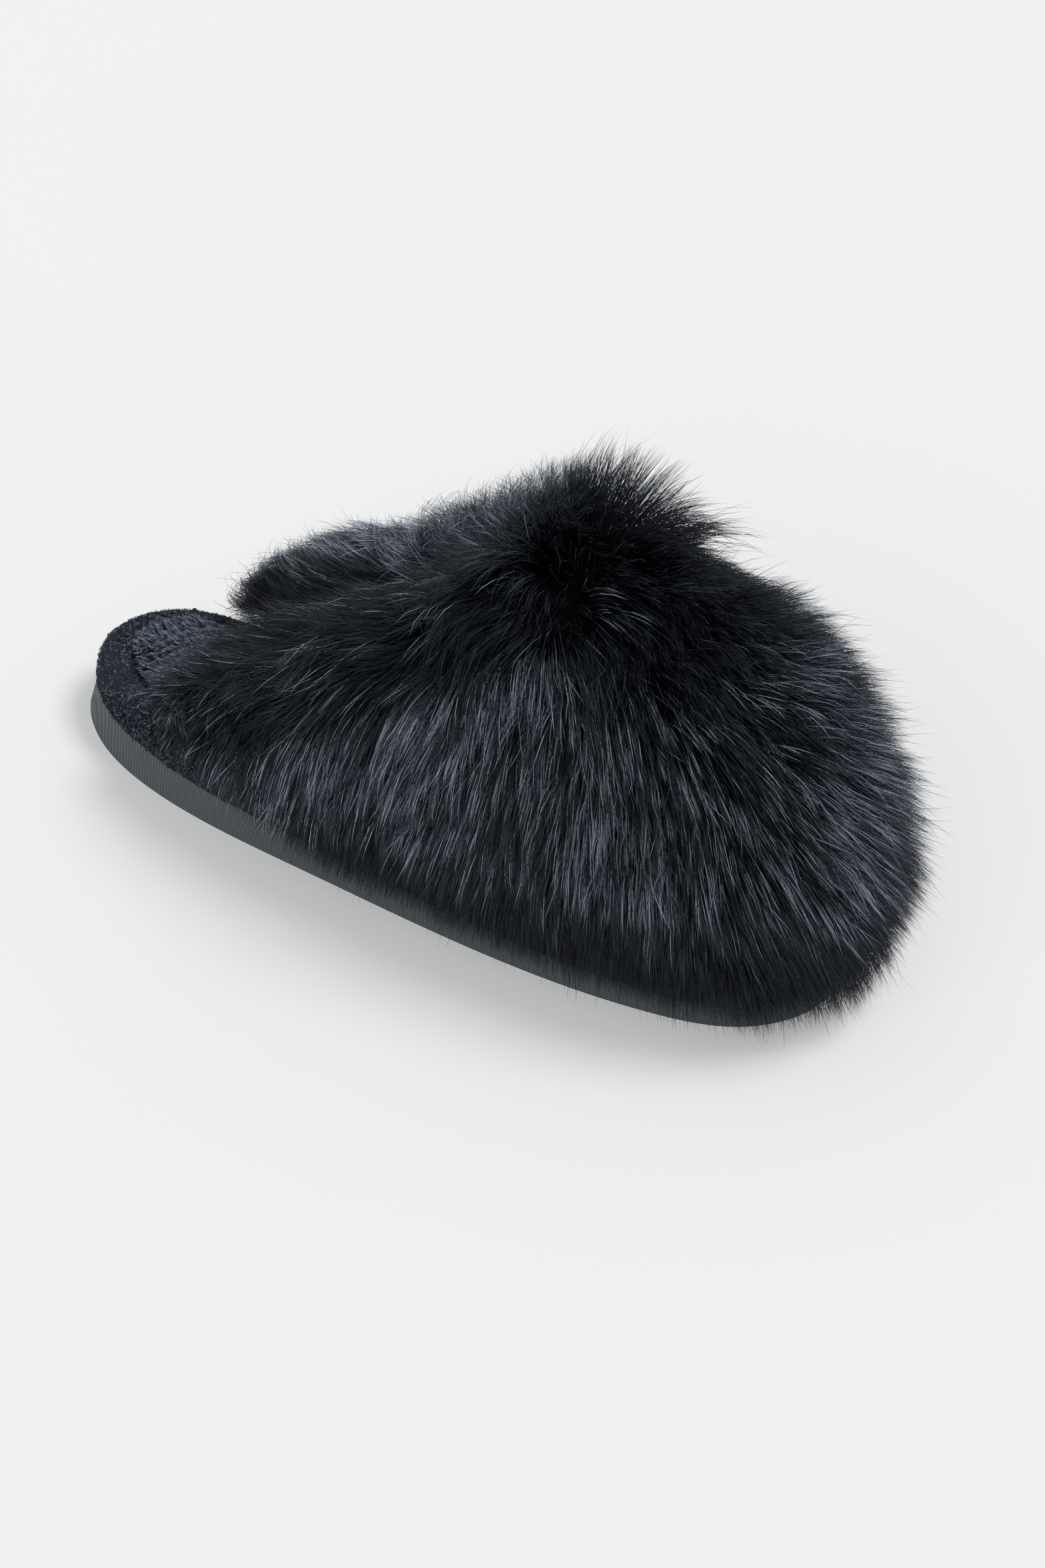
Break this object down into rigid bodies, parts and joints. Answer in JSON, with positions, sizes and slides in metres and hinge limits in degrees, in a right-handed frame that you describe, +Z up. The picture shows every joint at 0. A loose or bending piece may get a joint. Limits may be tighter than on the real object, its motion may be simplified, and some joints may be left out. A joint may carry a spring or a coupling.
{
  "type": "fluffy house slipper",
  "caption": "Backless house slipper with a long-pile faux-fur upper and cuff, a plush footbed in a fleece-wrapped platform and a cross-hatched foam-rubber wedge sole.",
  "frame": {"origin": "on the ground, under the middle of the bounding box", "axes": "+X from heel to toe, +Y towards the inner side of a right foot, +Z up"},
  "size_m": [0.2774, 0.1228, 0.137],
  "materials": {
    "sole_foam": "matte, fine cross-hatch",
    "board": "raw fibre board",
    "white_foam": "open-cell foam",
    "fleece": "nubby fleece",
    "plush": "short plush",
    "thread": "twisted thread",
    "tape": "woven tape",
    "fur": "long-pile faux fur"
  },
  "bodies": {
    "root": {"outsole": "sole_foam", "bottom_board": "board", "midsole_foam": "white_foam", "platform_cover": "fleece", "comfort_foam": "white_foam", "plush_sock": "plush", "footbed_seam_thread": "thread", "fur_vamp": "fur", "upper_padding": "white_foam", "plush_lining": "plush", "collar_seam_tape": "tape", "fur_collar": "fur"}
  },
  "joints": []
}
